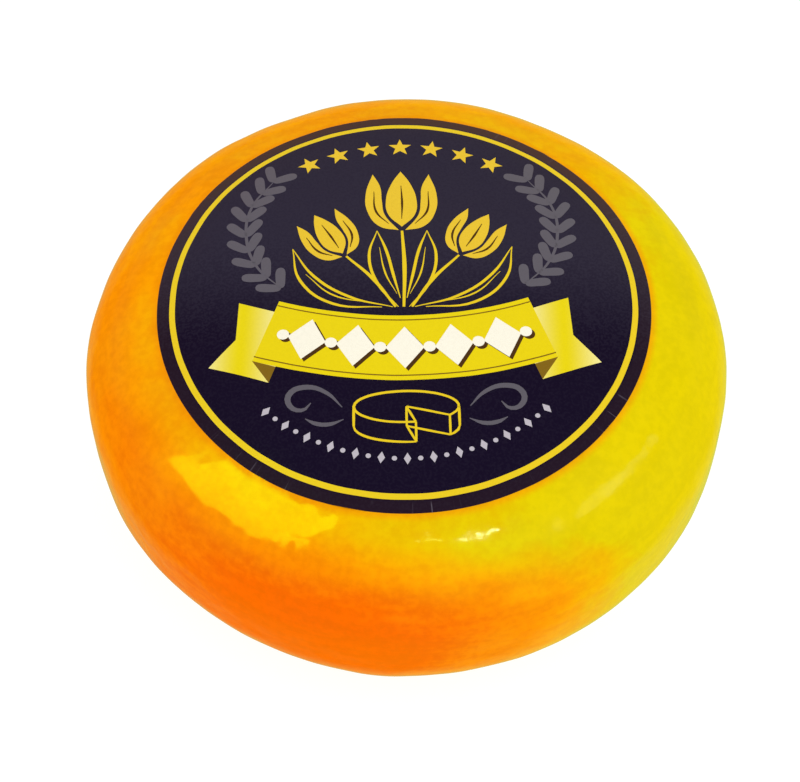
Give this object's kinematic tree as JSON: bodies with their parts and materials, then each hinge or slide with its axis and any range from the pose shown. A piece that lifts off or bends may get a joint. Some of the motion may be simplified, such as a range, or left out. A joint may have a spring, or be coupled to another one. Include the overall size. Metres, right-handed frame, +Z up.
{
  "type": "gouda wheel",
  "caption": "Whole round-shouldered wheel of gouda in a glossy orange-yellow rind, with a round dark label on its domed top.",
  "frame": {"origin": "middle of the flat base, on the surface that the wheel rests on", "axes": "+Z up along the wheel's axis, -Y towards the viewer who reads the label upright, +X to their right"},
  "size_m": [0.246, 0.246, 0.1005],
  "materials": {
    "rind": "satin gloss coating",
    "label": "printed, semi-gloss",
    "yellow_ink": "printed ink, semi-gloss",
    "cream_ink": "printed ink, semi-gloss",
    "grey_ink": "printed ink, semi-gloss",
    "brown_ink": "printed ink, semi-gloss"
  },
  "bodies": {
    "root": {"wheel": "rind", "label": "label"}
  },
  "joints": []
}
